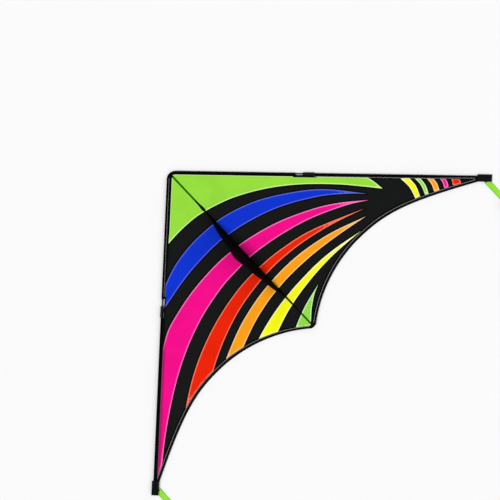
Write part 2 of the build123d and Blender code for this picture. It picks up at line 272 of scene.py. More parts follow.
def shell(name, rings, material, capped=True, sharp=40, weld=False):
    """A piece over rings that all have as many points, its faces turned outwards."""
    points, faces = skin(rings, capped=capped)
    return clean(new_piece(name, points, faces, material, sharp), weld)


def angles(count):
    """That many angles, evenly round a turn."""
    return np.linspace(0, 2 * pi, count + 1)[:-1]


NARROWEST = 1.2  # a stretch between two lines gets points of its own if it is wider


def middle_of(points, face):
    return np.mean([points[i] for i in face], axis=0)


def triangulate(outline, lines, step, holes=()):
    """Even triangles inside an outline, with edges along every line. Returns plan points and triangles."""
    rings = [divided([*ring, ring[0]], step)[:-1] for ring in [outline, *holes]]
    paths = [divided(line, step) for line in lines]
    points = [p for ring in rings for p in ring]
    edges = []
    start = 0
    for ring in rings:
        edges += [(start + i, start + (i + 1) % len(ring)) for i in range(len(ring))]
        start += len(ring)
    for path in paths:
        edges += [(len(points) + i, len(points) + i + 1) for i in range(len(path) - 1)]
        points += path
    near = nearest(points)
    low, high = np.min(rings[0], axis=0), np.max(rings[0], axis=0)
    grid = []
    for row, y in enumerate(np.arange(low[1], high[1], step * sqrt(3) / 2)):
        for x in np.arange(low[0] + step / 2 * (row % 2), high[0], step):
            if near.find((x, y, 0))[2] > 0.6 * step:
                grid.append((x, y))
    if grid:
        grid = [p for p, within in zip(grid, inside(grid, rings[0])) if within]
    made = delaunay_2d_cdt([Vector(p) for p in points + grid], edges, [], 0, 1e-4)
    made_points = [tuple(p) for p in made[0]]
    on_line = [near.find((x, y, 0))[2] < 0.01 for x, y in made_points]
    thin = [middle_of(made_points, face) for face in made[2] if all(on_line[i] for i in face)]
    thin = [tuple(p) for p in thin if near.find((*p, 0))[2] > NARROWEST]
    made = delaunay_2d_cdt([Vector(p) for p in points + grid + thin], edges, [], 0, 1e-4)
    points = [tuple(p) for p in made[0]]
    middles = [middle_of(points, face) for face in made[2]]
    keep = inside(middles, rings[0])
    for hole in rings[1:]:
        keep &= ~inside(middles, hole)
    faces = [tuple(face) for face, kept in zip(made[2], keep) if kept]
    used = sorted({i for face in faces for i in face})
    renumber = {old: new for new, old in enumerate(used)}
    return [points[i] for i in used], [tuple(renumber[i] for i in face) for face in faces]


def mirrored(points, side):
    return [Vector((p[0] * side, p[1], p[2])) for p in points]


def follow(piece, body, node=None, bend=None):
    """The piece rides on a body, or, when bend is given, is left off the bodies with its transform baked in;
    the bend points themselves are not used. It may stand for a CAD node.
    """
    if node:
        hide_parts(node)
    if bend:
        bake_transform(piece)
    else:
        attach(piece, body)
    return piece


def on_wing(piece, side, node=None, crosses_seam=False):
    bend = [Vector((side * x * MM, 0, 0)) for x in HINGE] if crosses_seam else None
    return follow(piece, f"{WORDS[side]}_wing", node and f"{WORDS[side]}_{node}", bend)


STITCH = 2.8  # length of a straight stitch
STITCH_PITCH = 4.0
ZIGZAG_PITCH = 1.35  # length of half a zigzag
THREAD = 0.36  # half of a thread's thickness
TAPER = 0.25  # each end of a stitch tapers over this share of its length
# how far a stitch's top, underside and ends are from the cloth's surface, in halves of its thickness
STITCH_TOP, STITCH_UNDER, STITCH_ENDS = 1.4, -0.6, -0.5


def place_on(line, run, at):
    """The point on a stitch line at a distance along it, and the way up from the cloth there."""
    values = [np.interp(at, run, column) for column in line.T]
    return Vector(values[:3]), Vector(values[3:]).normalized()


def stitches(name, paths, material, zigzag=0.0):
    """Rows of straight stitches, or of zigzag ones that wide. A path is a list of (point, up) in metres."""
    length, pitch = (ZIGZAG_PITCH, ZIGZAG_PITCH) if zigzag else (STITCH, STITCH_PITCH)
    points, faces = [], []
    for path in paths:
        line = np.array([[*p, *up] for p, up in path])
        run = runs_of(line[:, :3]) / MM
        for number, start in enumerate(np.arange(pitch / 2, run[-1] - length, pitch)):
            here, up = place_on(line, run, start)
            there, _ = place_on(line, run, start + length)
            swing = (there - here).cross(up).normalized() * (zigzag / 2 * MM) * (1 if number % 2 else -1)
            first, last = here + swing, there - swing
            wide = (last - first).cross(up).normalized() * THREAD * MM
            rise = up * THREAD * MM
            base = len(points)
            points.append(first + rise * STITCH_ENDS)
            for middle in (first.lerp(last, TAPER), first.lerp(last, 1 - TAPER)):
                top, under = middle + rise * STITCH_TOP, middle + rise * STITCH_UNDER
                points += [top, middle + wide, under, middle - wide]
            points.append(last + rise * STITCH_ENDS)
            for j in range(4):
                k = (j + 1) % 4
                faces += [(base, base + 1 + j, base + 1 + k),
                          (base + 1 + j, base + 5 + j, base + 5 + k, base + 1 + k),
                          (base + 9, base + 5 + k, base + 5 + j)]
    return new_piece(name, points, faces, material, sharp=80)


# ---- colours and materials
def srgb(red, green, blue):
    """A colour given as it looks on a screen, as the shader's linear values."""
    return [((c / 255 + 0.055) / 1.055) ** 2.4 if c > 10 else c / 255 / 12.92 for c in (red, green, blue)]


BLACK = srgb(19, 20, 20)
DEEP_BLACK = srgb(2, 2, 2)
# each printed colour, and the paler one along its field's edge
PALETTE = {
    "lime": (srgb(152, 224, 62), srgb(214, 252, 160)),
    "blue": (srgb(10, 52, 212), srgb(92, 104, 226)),
    "pink": (srgb(248, 6, 140), srgb(255, 124, 196)),
    "red": (srgb(238, 34, 0), srgb(255, 124, 96)),
    "orange": (srgb(255, 162, 20), srgb(255, 208, 146)),
    "yellow": (srgb(250, 252, 20), srgb(255, 255, 176)),
    "green": (srgb(148, 219, 78), srgb(208, 248, 176)),
}


WEAVE = 0.0005  # metres between a cloth's threads
RIPSTOP = 0.005  # metres between a ripstop cloth's thicker threads


class Shader:
    """A small helper that adds nodes to one material."""

    def __init__(self, name):
        self.material = bpy.data.materials.new(name)
        self.material.use_nodes = True
        self.tree = self.material.node_tree
        self.surface = self.tree.nodes["Principled BSDF"]

    def add(self, kind, values=None, **settings):
        node = self.tree.nodes.new(kind)
        for key, value in settings.items():
            setattr(node, key, value)
        for socket, value in (values or {}).items():
            self.join(value, node.inputs[socket])
        return node

    def join(self, value, socket):
        if isinstance(value, bpy.types.NodeSocket):
            self.tree.links.new(value, socket)
        else:
            socket.default_value = value

    def set(self, **sockets):
        for name, value in sockets.items():
            self.join(value, self.surface.inputs[name.replace("_", " ")])

    def math(self, operation, *values):
        node = self.add("ShaderNodeMath", operation=operation)
        for socket, value in zip(node.inputs, values):
            self.join(value, socket)
        return node.outputs[0]

    def ramp(self, value, start, end, low=0.0, high=1.0):
        """Value mapped smoothly from start..end to low..high."""
        node = self.add("ShaderNodeMapRange", interpolation_type="SMOOTHSTEP")
        for socket, number in zip(node.inputs, (value, start, end, low, high)):
            self.join(number, socket)
        return node.outputs[0]

    def mix(self, share, first, second):
        node = self.add("ShaderNodeMix", data_type="RGBA")
        self.join(share, node.inputs[0])
        for index, colour in ((6, first), (7, second)):
            if not isinstance(colour, bpy.types.NodeSocket):
                colour = [*colour[:3], 1.0]
            self.join(colour, node.inputs[index])
        return node.outputs[2]

    def attribute(self, name, output="Fac"):
        return self.add("ShaderNodeAttribute", attribute_name=name).outputs[output]

    def place(self, turn=0.0, stretch=(1, 1, 1)):
        """Metres in the shared frame, turned about Z in degrees and stretched."""
        where = self.add("ShaderNodeTexCoord").outputs["Object"]
        values = {"Vector": where, "Rotation": (0, 0, radians(turn)), "Scale": stretch}
        return self.add("ShaderNodeMapping", values).outputs[0]

    def noise(self, scale, detail=3.0, where=None):
        values = {"Scale": scale, "Detail": detail, "Vector": where or self.place()}
        return self.add("ShaderNodeTexNoise", values).outputs[0]

    def wave(self, period, where, direction="X"):
        """Ridges with the given period in metres."""
        values = {"Scale": pi / 10 / period, "Vector": where}
        return self.add("ShaderNodeTexWave", values, bands_direction=direction).outputs["Fac"]

    def bump(self, *layers):
        """Bumps from pairs of (height, depth in metres), one over the other."""
        normal = None
        for height, depth in layers:
            values = {"Height": height, "Distance": depth, "Strength": 1.0}
            if normal is not None:
                values["Normal"] = normal
            normal = self.add("ShaderNodeBump", values).outputs[0]
        self.set(Normal=normal)

    def weave(self, turn=0.0):
        """Over-and-under threads of a plain weave."""
        where = self.place(turn)
        return self.math("MAXIMUM", self.wave(WEAVE, where, "X"), self.wave(WEAVE, where, "Y"))

    def ripstop(self, directions):
        """The thicker threads of a ripstop cloth, in a square grid."""
        grid = [self.ramp(self.wave(RIPSTOP, self.place(), direction), 0.93, 1.0) for direction in directions]
        return self.math("MAXIMUM", *grid)


def tinted(shader, colour, amount, scale):
    """The colour with soft lighter and darker patches."""
    factor = shader.ramp(shader.noise(scale, 4.0), 0.35, 0.65, 1 - amount, 1 + amount)
    if not isinstance(colour, bpy.types.NodeSocket):
        colour = tuple(colour[:3])
    node = shader.add("ShaderNodeVectorMath", {"Vector": colour, "Scale": factor}, operation="SCALE")
    return node.outputs[0]


def sail_cloth():
    """Printed ripstop. The print's colours, and the painted shade beside the bands, come from the mesh."""
    cloth = Shader("printed_sail_cloth")
    printed = cloth.attribute("print", "Color")
    edging = cloth.attribute("edging", "Color")
    reach = cloth.attribute("edging_reach")
    share = cloth.ramp(cloth.math("DIVIDE", cloth.attribute("from_edge"), reach), 0.35, 1.0, 1.0, 0.0)
    colour = cloth.mix(share, printed, edging)
    # painted shade: the print darkens towards black beside the bands, a little for the double layer and much
    # more behind the left wing's fitting
    colour = cloth.mix(cloth.attribute("double_layer_and_painted_shade"), colour, DEEP_BLACK)
    cloth.set(Base_Color=tinted(cloth, colour, 0.04, 9.0))
    cloth.set(Roughness=cloth.ramp(cloth.noise(140.0), 0.3, 0.7, 0.66, 0.8))
    cloth.set(Specular_IOR_Level=0.06, Sheen_Weight=0.005, Sheen_Roughness=0.35)
    slack = cloth.noise(22.0, 5.0)
    cloth.bump((slack, 0.00025), (cloth.ripstop("XY"), 0.00005), (cloth.weave(), 0.00004))
    return cloth.material


def keel_cloth():
    """Black ripstop that stands upright, along the spine."""
    cloth = Shader("keel_cloth")
    grid = cloth.ripstop("YZ")
    cloth.set(Base_Color=tinted(cloth, cloth.mix(grid, srgb(4, 4, 5), srgb(12, 12, 13)), 0.15, 40.0))
    cloth.set(Roughness=cloth.ramp(cloth.noise(90.0, 5.0), 0.3, 0.7, 0.76, 0.88), Specular_IOR_Level=0.04)
    cloth.bump((cloth.noise(60.0, 5.0), 0.0003), (grid, 0.00008))
    return cloth.material


def black_cloth(name, colour, turn, roughness=0.7, specular=0.07):
    """Black cloth with its threads turned to the given angle."""
    cloth = Shader(name)
    cloth.set(Base_Color=tinted(cloth, colour, 0.15, 40.0))
    worn = cloth.noise(90.0, 5.0)
    cloth.set(Roughness=cloth.ramp(worn, 0.3, 0.7, roughness - 0.06, roughness + 0.06))
    cloth.set(Specular_IOR_Level=specular, Sheen_Weight=0.005, Sheen_Roughness=0.35)
    cloth.bump((cloth.noise(60.0, 5.0), 0.0003), (cloth.weave(turn), 0.00005))
    return cloth.material


def webbing(name, turn):
    """Ribbed nylon tape, its ribs turned to the given angle."""
    tape = Shader(name)
    where = tape.place(turn)
    ribs = tape.wave(0.0016, where, "X")
    threads = tape.wave(0.0006, where, "Y")
    colour = tape.mix(ribs, srgb(3, 3, 4), srgb(18, 18, 19))
    tape.set(Base_Color=tinted(tape, colour, 0.15, 60.0))
    tape.set(Roughness=tape.ramp(ribs, 0.0, 1.0, 0.8, 0.6), Specular_IOR_Level=0.08)
    tape.bump((ribs, 0.00022), (threads, 0.00006))
    return tape.material


def ribbon_cloth():
    """Light lime ribbon with a denser selvedge along both sides."""
    tape = Shader("lime_ribbon")
    across = tape.math("ABSOLUTE", tape.attribute("across"))
    colour = tinted(tape, srgb(150, 234, 48), 0.04, 12.0)
    selvedge = tape.ramp(across, 0.80, 0.88)
    tape.set(Base_Color=tape.mix(selvedge, colour, srgb(104, 186, 22)))
    tape.set(Roughness=tape.ramp(tape.noise(200.0), 0.3, 0.7, 0.5, 0.62))
    tape.set(Specular_IOR_Level=0.15, Sheen_Weight=0.02, Sheen_Roughness=0.4)
    tape.bump((tape.noise(50.0, 4.0), 0.0003), (tape.weave(), 0.00005))
    return tape.material


def fibreglass(name, turn):
    """Black pultruded rod with fine lines along it."""
    rod = Shader(name)
    lines = rod.noise(1500.0, 2.0, rod.place(turn, (0.02, 1, 1)))
    rod.set(Base_Color=rod.mix(rod.ramp(lines, 0.35, 0.65), srgb(6, 6, 7), srgb(20, 20, 22)))
    rod.set(Roughness=rod.ramp(lines, 0.3, 0.7, 0.3, 0.45), Specular_IOR_Level=0.15)
    rod.bump((lines, 0.00004))
    return rod.material


def moulded(name, colour, roughness, grain):
    """Moulded plastic or vinyl with a fine spark-eroded skin and rubbed patches."""
    plastic = Shader(name)
    skin_noise = plastic.noise(grain, 6.0)
    rubbed = plastic.noise(60.0, 4.0)
    plastic.set(Base_Color=tinted(plastic, colour, 0.15, 80.0))
    plastic.set(Roughness=plastic.ramp(rubbed, 0.35, 0.7, roughness - 0.1, roughness + 0.08))
    plastic.set(Specular_IOR_Level=0.12)
    plastic.bump((skin_noise, 0.00006))
    return plastic.material


def blackened_brass():
    """Oxidised black all over, worn a little lighter where the line rubs."""
    metal = Shader("blackened_brass")
    scratches = metal.noise(900.0, 6.0, metal.place(30, (1, 0.08, 1)))
    worn = metal.ramp(scratches, 0.45, 0.8)
    metal.set(Base_Color=metal.mix(worn, srgb(24, 24, 26), srgb(96, 88, 74)), Metallic=1.0)
    metal.set(Roughness=metal.ramp(scratches, 0.3, 0.7, 0.3, 0.5))
    metal.bump((scratches, 0.00002))
    return metal.material


def thread(name, colour):
    """Twisted sewing thread."""
    cotton = Shader(name)
    twist = cotton.noise(2500.0, 2.0)
    cotton.set(Base_Color=cotton.mix(twist, [c * 0.6 for c in colour], colour))
    cotton.set(Roughness=cotton.ramp(twist, 0.3, 0.7, 0.6, 0.8), Specular_IOR_Level=0.2)
    cotton.bump((twist, 0.00005))
    return cotton.material


SWEEP_TURN = 44.2
MATERIALS = {
    "sail": sail_cloth(),
    "keel": keel_cloth(),
    "hem": black_cloth("hem_cloth", srgb(5, 5, 5), 12),
    "webbing_middle": webbing("webbing_middle", 90),
    "ribbon": ribbon_cloth(),
    "rod_spine": fibreglass("fibreglass_spine", 90),
    "rod_spreader": fibreglass("fibreglass_spreader", 0),
    "vinyl": moulded("black_vinyl", srgb(9, 9, 10), 0.55, 700.0),
    "fitting": moulded("moulded_fitting", srgb(8, 8, 9), 0.5, 1600.0),
    "brass": blackened_brass(),
    "thread_black": thread("thread_black", srgb(17, 17, 18)),
    "thread_dark": thread("thread_dark", srgb(30, 31, 32)),
    # light grey thread, bright enough to serve as painted highlights along the bands and hems as well as
    # stitching
    "grey_thread_and_highlight": thread("grey_thread_and_highlight", srgb(214, 214, 216)),
}
for side, word in WORDS.items():
    turn = side * SWEEP_TURN
    MATERIALS[f"band_{word}"] = black_cloth(f"edge_band_{word}", srgb(3, 3, 3), turn, 0.8, 0.04)
    MATERIALS[f"webbing_{word}"] = webbing(f"webbing_{word}", turn)
    MATERIALS[f"rod_{word}"] = fibreglass(f"fibreglass_{word}", turn)


# ---- how the sail hangs in its frame
def wing_outline(edge_tuck, hem_tuck, gap_tuck=None):
    """One wing's sail in plan, its edges tucked in by these distances."""
    tuck_radius = NOSE_RADIUS - edge_tuck
    outline = [(tuck_radius * sin(a), NOSE_RADIUS - tuck_radius * cos(a)) for a in np.linspace(0, SWEEP, 8)]
    if gap_tuck is not None:
        for along, tuck in ((GAP_START - 3, edge_tuck), (GAP_START, gap_tuck),
                            (GAP_END - 1, gap_tuck), (GAP_END + 3, edge_tuck)):
            outline.append(edge_at(along, tuck))
    hem = [(x, station - hem_tuck) for x, station in trailing_edge()]
    hem = [p for p in hem if inboard_of(*p) > edge_tuck + 0.5]
    outline.append(edge_at(along_from(*hem[-1]), edge_tuck))
    return outline + hem[::-1]


def simulate_drape():
    """Hangs a plain copy of one wing's cloth from the spine and the leading edge.

    Returns its points and their heights. Both wings are cut and hung alike, so this serves both."""
    points, faces = triangulate(wing_outline(ROD_INSET, 0.0), [], DRAPE_GRID)
    cloth = new_piece("drape_test", [put(x, s, 0.0) for x, s in points], faces, MATERIALS["sail"])
    held = [i for i, (x, s) in enumerate(points) if x < HINGE[0] or inboard_of(x, s) < EDGE_BAND]
    cloth.vertex_groups.new(name="held").add(held, 1.0, "REPLACE")
    modifier = cloth.modifiers.new("Cloth", "CLOTH")
    settings = modifier.settings
    settings.vertex_group_mass = "held"
    settings.quality = 6
    settings.mass = 0.02
    settings.tension_stiffness = settings.compression_stiffness = 18.0
    settings.shear_stiffness = 6.0
    settings.bending_stiffness = 0.4
    settings.shrink_min = -0.0008
    settings.air_damping = 2.0
    scene = bpy.context.scene
    for step in range(1, DRAPE_FRAMES + 1):
        scene.frame_set(step)
    settled = cloth.evaluated_get(bpy.context.evaluated_depsgraph_get())
    sag = np.array([v.co.z for v in settled.data.vertices]) / MM
    scene.frame_set(1)
    bpy.data.objects.remove(cloth)
    return points, sag


TIP_DIP = 1.25  # towards the wing tip the sail and its hem dip under the edge's band
TIP_DIP_FROM, TIP_DIP_LENGTH = 640.0, 50.0
HELD_REACH = 30.0  # the cloth is free this far from where it is held
CREASE_HEIGHT = 0.45
CREASES = (  # where a fan of pull lines starts, how close they are, and their reach
    ((0, 10), 14, 260),
    (edge_at(470, 12), 11, 200),
    ((765, 745), 18, 300),
)


class Drape:
    """The height of the settled cloth over any plan place, smoothed between the simulated points."""
    SMOOTHING = 15.0

    def __init__(self):
        self.points, self.sag = simulate_drape()
        self.sag *= DRAPE_MOST / max(abs(self.sag).max(), DRAPE_MOST)
        self.near = nearest(self.points)

    def at(self, x, station):
        dip = -TIP_DIP * smooth((abs(x) - TIP_DIP_FROM) / TIP_DIP_LENGTH)
        found = self.near.find_range((abs(x), station, 0), 2.2 * self.SMOOTHING)
        if not found:
            return dip
        weights = [exp(-(d / self.SMOOTHING) ** 2) for _, _, d in found]
        sag = sum(w * self.sag[i] for w, (_, i, _) in zip(weights, found)) / sum(weights)
        return sag * self.freedom(x, station) + self.creases(x, station) + dip

    @staticmethod
    def freedom(x, station):
        """0 where the cloth is held by the spine or the leading edge, 1 away from them."""
        return clamp(min(inboard_of(x, station) - EDGE_BAND, abs(x) - HINGE[1]) / HELD_REACH)

    def creases(self, x, station):
        """Faint pull lines that fan out from the nose, the spreader's fitting and the wing tip."""
        height = 0.0
        for (px, ps), count, reach in CREASES:
            dx, ds = abs(x) - px, station - ps
            distance = hypot(dx, ds)
            angle = np.arctan2(ds, dx)
            height += sin(count * angle + 0.6) * exp(-distance / reach) * min(1, distance / 60)
        return CREASE_HEIGHT * height * self.freedom(x, station)


drape = Drape()


# ---- the print
TIP_BULGE = 0.08  # the wing-tip stripes bow outwards by this share of their length


def bowed(start, end):
    """A slightly bowed side of a wing-tip stripe."""
    middle = ((start[0] + end[0]) / 2 + TIP_BULGE * hypot(end[0] - start[0], end[1] - start[1]),
              (start[1] + end[1]) / 2)
    return [start, middle, end]


def tip_stripe(top_left, top_right, bottom_right, bottom_left):
    return [bowed(bottom_left, top_left), bowed(top_right, bottom_right)]


# Each field is a colour and its sides. A side is a smooth line through its points, and straight
# lines join the sides. Points past the sail's edge carry a field off the cloth.
FIELDS = [
    ("lime", [
        [(-203, 178), (-142, 171), (-81, 169), (-16, 175), (78, 201), (157, 237), (237, 286), (317, 349),
         (396, 425), (455, 491), (495, 538)],
        [(495, 538), (491, 507), (484, 477), (470, 436)],
        [(0, -60), (-200, 120)]]),
    ("blue", [
        [(-300, 282), (-218, 248), (-139, 231), (-59, 227), (39, 236), (157, 275), (276, 345), (356, 411),
         (444, 514)],
        [(444, 514), (395, 468), (316, 407), (197, 343), (78, 305), (-35, 288), (-139, 291), (-218, 301),
         (-297, 318), (-350, 331)]]),
    ("pink", [
        [(-460, 444), (-377, 391), (-297, 365), (-218, 348), (-139, 339), (-60, 337), (39, 347), (157, 376),
         (276, 426), (355, 473), (434, 534)],
        [(434, 534), (355, 489), (237, 441), (118, 412), (14, 399), (-60, 401), (-139, 408), (-258, 436),
         (-377, 484), (-495, 551), (-614, 636), (-693, 701), (-750, 748)],
        [(-800, 740), (-460, 418)]]),
    ("red", [
        [(-558, 657), (-454, 584), (-375, 538), (-297, 503), (-218, 476), (-139, 457), (-60, 446), (39, 445),
         (118, 453), (197, 468), (276, 494), (403, 545)],
        [(403, 545), (316, 517), (237, 497), (157, 483), (78, 477), (14, 478), (-60, 487), (-139, 503),
         (-218, 529), (-297, 564), (-390, 615)]]),
    ("orange", [
        [(-326, 611), (-257, 578), (-179, 546), (-100, 524), (-35, 512), (39, 505), (118, 505), (197, 514),
         (276, 531), (388, 568)],
        [(388, 568), (316, 556), (237, 545), (157, 538), (78, 537), (14, 541), (-60, 552), (-139, 573),
         (-218, 604), (-250, 619)]]),
    ("yellow", [
        [(-205, 637), (-139, 613), (-60, 592), (14, 580), (78, 574), (157, 571), (237, 576), (341, 593)],
        [(341, 593), (276, 589), (197, 588), (118, 594), (39, 606), (-16, 619), (-60, 633), (-135, 662)]]),
    ("green", [
        [(-62, 688), (-16, 666), (39, 645), (110, 626)],
        [(110, 626), (78, 641), (39, 669), (14, 692), (-14, 718)]]),
    ("yellow", tip_stripe((563, 555), (586, 572), (571, 645), (554, 640))),
    ("green", tip_stripe((599, 585), (613, 600), (596, 663), (587, 653))),
    ("orange", tip_stripe((629, 612), (645, 628), (633, 676), (616, 669))),
    ("pink", tip_stripe((661, 647), (675, 660), (663, 689), (650, 682))),
    ("red", tip_stripe((689, 670), (709, 694), (700, 713), (678, 694))),
]
PALE_REACH = 5.0
DARK_REACH = 7.0  # the black beside a field is blackest within this distance
SEAM_SHADE = (0.04, 0.20, 0.01)  # the seam shows the print this dark, in red, green and blue
BORDER_TUCK = 1.5  # a print's pale edge starts this far under a band
GAP_BLACK = 15.0  # black cloth reaches this far inboard beside the gap
DULL_REACH = 11.0  # the cloth is a double layer this far in from a band and looks duller there, and the left wing's painted shade reaches as far
# how dark the cloth beside a band is made: the right wing's amount is the double layer's and holds on both
# wings; the left wing's is mostly painted shade cast by the raised band
DULL_RIGHT, DULL_AND_SHADE_LEFT = 0.05, 0.78
LEFT_SHADE_FROM, LEFT_SHADE_LENGTH = 470.0, 150.0  # the left wing's painted shade grows from behind its fitting, over this length
FIELD_STEP = 5.0
BORDER_STEP = 2.0


def field_outline(sides):
    outline = []
    for side in sides:
        outline += smooth_line(side, FIELD_STEP) if len(side) > 2 else side
    return outline


OUTLINES = [(colour, field_outline(sides)) for colour, sides in FIELDS]


def double_layer_and_shade(x, station, side):
    """How much darker the cloth beside the leading edge is made: a little for the double layer of cloth, and
    on the left wing mostly painted shade from the raised band.
    """
    along = along_from(x, station)
    most = DULL_RIGHT
    if side < 0:
        most += (DULL_AND_SHADE_LEFT - DULL_RIGHT) * smooth((along - LEFT_SHADE_FROM) / LEFT_SHADE_LENGTH)
    return most * clamp(1 - (inboard_of(x, station) - wide_band(side, along)) / DULL_REACH)


def beside_band(side, distance):
    """A line this far inboard of a band, from the nose to the wing tip."""
    turns = (0, WIDER_FROM, WIDER_TO, POCKET_END)
    return [edge_at(along, wide_band(side, along) + distance) for along in turns]


def on_side(line, side):
    return [(x * side, s) for x, s in line]


def paint(mesh, points, faces, side):
    """Writes the print to the mesh: flat colours by face, distances that the cloth's shader reads, and the
    darkening beside the bands, which is partly painted shade.
    """
    middles = np.array([middle_of(points, face) for face in faces])
    colours = np.tile([*BLACK, 1.0], (len(faces), 1))
    edging = np.tile([*DEEP_BLACK, 1.0], (len(faces), 1))
    reach = np.full(len(faces), DARK_REACH)
    borders = []
    for colour, outline in OUTLINES:
        outline = on_side(outline, side)
        within = inside(middles, outline)
        colours[within, :3], edging[within, :3] = PALETTE[colour]
        reach[within] = PALE_REACH
        borders += spaced([*outline, outline[0]], BORDER_STEP)
    borders += spaced(beside_band(side, -BORDER_TUCK), BORDER_STEP)
    borders += [(x, station - HEM_WIDTH) for x, station in trailing_edge(BORDER_STEP)]
    by_gap = [inboard_of(*p) < GAP_BLACK and abs(along_from(*p) - GAP_MIDDLE) < GAP_REACH for p in middles]
    colours[by_gap, :3] = edging[by_gap, :3] = DEEP_BLACK
    seam = middles[:, 0] < SEAM_HALF
    colours[seam, :3] *= SEAM_SHADE
    edging[seam, :3] = colours[seam, :3]
    near = nearest(borders)
    by_point = {
        "from_edge": [near.find((x, s, 0))[2] for x, s in points],
        # the darkening beside the bands: the double layer's dullness and painted shade
        "double_layer_and_painted_shade": [double_layer_and_shade(x, s, side) for x, s in points],
    }
    for name, values in (("print", colours), ("edging", edging)):
        mesh.attributes.new(name, "FLOAT_COLOR", "FACE").data.foreach_set("color", values.ravel())
    mesh.attributes.new("edging_reach", "FLOAT", "FACE").data.foreach_set("value", reach)
    for name, values in by_point.items():
        mesh.attributes.new(name, "FLOAT", "POINT").data.foreach_set("value", values)


GAP_TUCK = {1: 8.0, -1: 11.0}  # the slot beside the rod is wider on the left wing
SEAM_SINK = 0.5


def make_sail(side):
    """One half of the printed sail, from the seam to inside its bands."""
    outline = wing_outline(EDGE_TUCK, HEM_TUCK, GAP_TUCK[side])
    lines = [on_side([*field, field[0]], side) for _, field in OUTLINES]
    lines.append([(SEAM_HALF, outline[0][1] + 1), (SEAM_HALF, outline[-1][1] - 1)])
    lines.append([edge_at(GAP_MIDDLE + end * GAP_REACH, GAP_BLACK) for end in (-1, 1)])
    for distance in (-BORDER_TUCK, PALE_REACH - BORDER_TUCK, DULL_REACH):
        lines.append(beside_band(side, distance))
    points, faces = triangulate(outline, lines, CLOTH_GRID)
    places = []
    for x, station in points:
        sink = SEAM_SINK * max(0.0, 1 - x / SEAM_HALF)
        places.append(put(x, station, SAIL_Z + drape.at(x, station) - sink))
    word = WORDS[side]
    sail = new_piece(f"{word}_sail_cloth", mirrored(places, side), faces, MATERIALS["sail"], sharp=180)
    paint(sail.data, points, faces, side)
    if side < 0:
        sail.data.flip_normals()
    on_wing(sail, side, "sail", crosses_seam=True)


for side in WORDS:
    make_sail(side)


# ---- folded bands along the leading edges
BAND_HALF = 0.55  # half the thickness of a flat folded band
ZIGZAG_WIDTH = 2.6
ZIGZAG_INBOARD = 11.2  # the zigzag row runs along the band's inner edge,
ZIGZAG_MOVED = 3.0  # but nearer the rod at the tip,
ZIGZAG_WIDE = 7.8  # and in the middle of the left wing's wide front band, where its grey thread stands in for a painted highlight
ZIGZAG_MOVES = (880.0, 150.0)  # from here, over this length
BAND_ROW_FROM = 18.0  # the rows start this far from the nose
BAND_ROW_STEP = 12.0
NOSE_STEP, BAND_STEP = 3.0, 18.0  # between rings, round the nose and down the edge
NOSE_FLAT = 0.3  # how open the tunnel is at the nose
CAP_BULGE, CAP_LENGTH = 0.28, 7.0
STITCH_LIFT = 0.05  # stitches lie this far over the cloth
CUFF = 9.0  # the tunnel's mouth is turned over for this length
# how far from its end, how much thicker and how far drawn in the tunnel's mouth is
MOUTH = [(3, 0.6, 0.3), (0, 0.8, 0.08), (0, 1.3, 0), (CUFF - 1, 1.3, 0), (CUFF, 1.0, 0)]
CAP_START, CAP_END = 38.0, 54.0  # the tunnel bulges over the rod's cap between these, along


def band_section(width, swell):
    """Round the rod's tunnel, then flat to the inner edge: (inboard, height) points of a closed loop."""
    tunnel = TUNNEL_RADIUS * swell
    neck = 2 * ROD_INSET + 1.4
    top = [(width, 0.4 * BAND_HALF), (width - 0.5, BAND_HALF), (0.5 * (width + neck), BAND_HALF),
           (neck, 1.15 * BAND_HALF), (neck - 1.2, 0.45 * tunnel)]
    around = [(ROD_INSET * (1 + cos(a)), tunnel * sin(a)) for a in np.linspace(radians(38), radians(322), 17)]
    return top + around + [(u, -v) for u, v in reversed(top)]


def band_swell(along):
    """The tunnel is flat at the nose, where no rod is, and bulges over the rod's cap."""
    opened = min(1.0, max(NOSE_FLAT, along / CAP_START))
    cap = exp(-((along - 0.5 * (CAP_START + CAP_END)) / CAP_LENGTH) ** 4)
    return opened + CAP_BULGE * cap


def band_ring(side, run, thicker=1.0, inset=0.0):
    along = along_of(run)
    section = band_section(wide_band(side, along), band_swell(along))
    return [put(*inside_edge(run, u + inset * (ROD_INSET - u)), SAIL_Z + v * thicker) for u, v in section]


def band_rings(side, start, end, cuff_at_start):
    """Rings from one run to another. The turned-over mouth is at the start or at the end."""
    runs = [start]
    if start < NOSE_ARC:
        runs += [*np.arange(start + NOSE_STEP, min(end, NOSE_ARC + 40), NOSE_STEP)]
    runs += [r for r in np.arange(start + CUFF, end - CUFF, BAND_STEP) if r > runs[-1]]
    rings = [band_ring(side, run) for run in runs]
    if cuff_at_start:
        mouth = [band_ring(side, start + at, thicker, inset) for at, thicker, inset in MOUTH]
        return mouth + rings[1:] + [band_ring(side, end)]
    return rings + [band_ring(side, end - at, thicker, inset) for at, thicker, inset in reversed(MOUTH)]


def band_row(side, start, end, inboard):
    """A stitch path down the band, at the distance from its edge that inboard(along) gives."""
    row = []
    for run in np.arange(start, end, BAND_ROW_STEP):
        x, station = inside_edge(run, inboard(along_of(run)))
        row.append((put(side * x, station, SAIL_Z + BAND_HALF + STITCH_LIFT), UP))
    return row


def zigzag_line(side, place):
    if side < 0 and place == "front":
        return lambda along: ZIGZAG_WIDE
    moves_from, over = ZIGZAG_MOVES
    return lambda along: ZIGZAG_INBOARD - ZIGZAG_MOVED * smooth((along - moves_from) / over)


